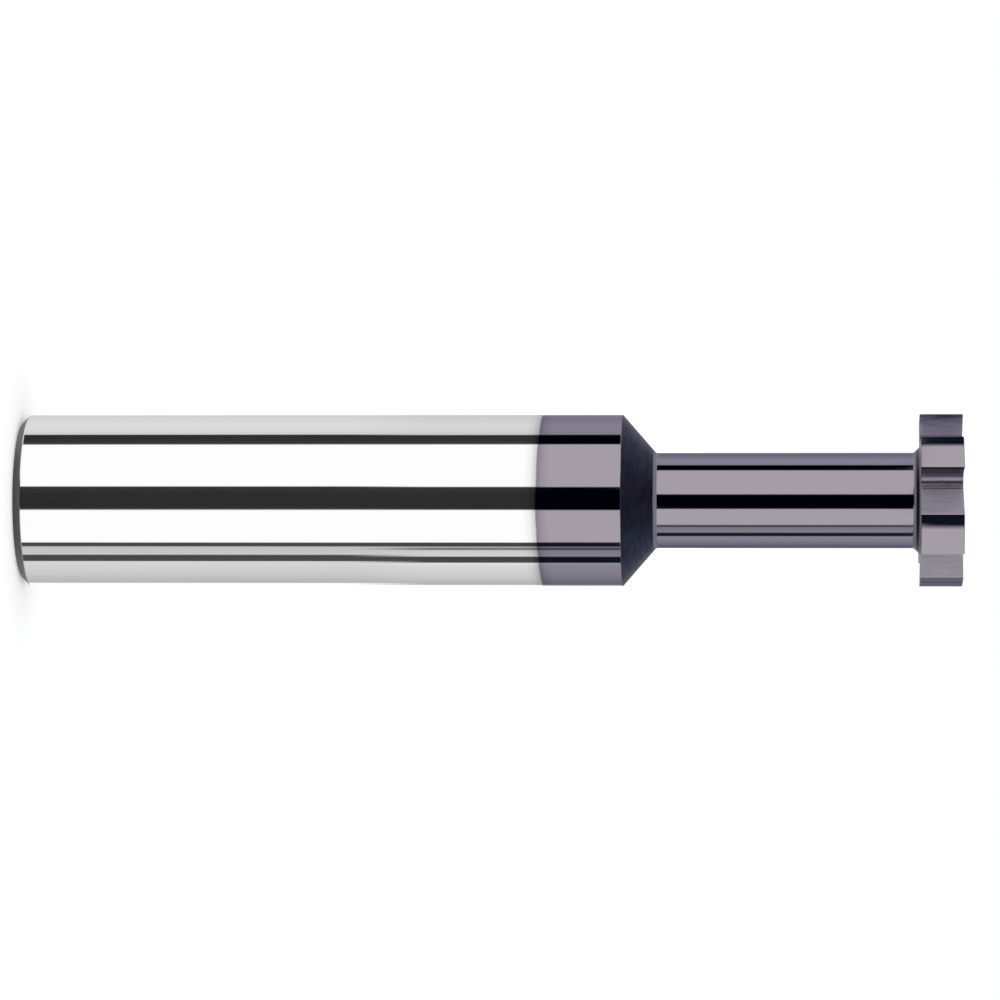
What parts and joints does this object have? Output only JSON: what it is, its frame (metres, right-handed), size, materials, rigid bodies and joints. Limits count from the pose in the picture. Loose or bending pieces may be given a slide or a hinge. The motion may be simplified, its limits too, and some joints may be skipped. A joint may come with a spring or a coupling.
{
  "type": "woodruff keyseat cutter",
  "caption": "Solid carbide keyseat cutter: a polished round shank, a cone, a reduced neck and a narrow disc head with straight ground teeth, coated violet-grey towards the head.",
  "frame": {"origin": "centre of the shank's end face, on the surface that the tool stands on", "axes": "+Z along the tool axis, from the shank end to the cutter head; the tool is turned counter-clockwise about +Z to cut"},
  "size_m": [0.0128, 0.0126, 0.0698],
  "materials": {
    "ground_carbide": "mirror-ground bare carbide on the shank, thin violet-grey coating on the shank's front end, cone, neck and head, fine grinding lines on cone and flutes"
  },
  "bodies": {
    "root": {"keyseat_cutter": "ground_carbide"}
  },
  "joints": []
}
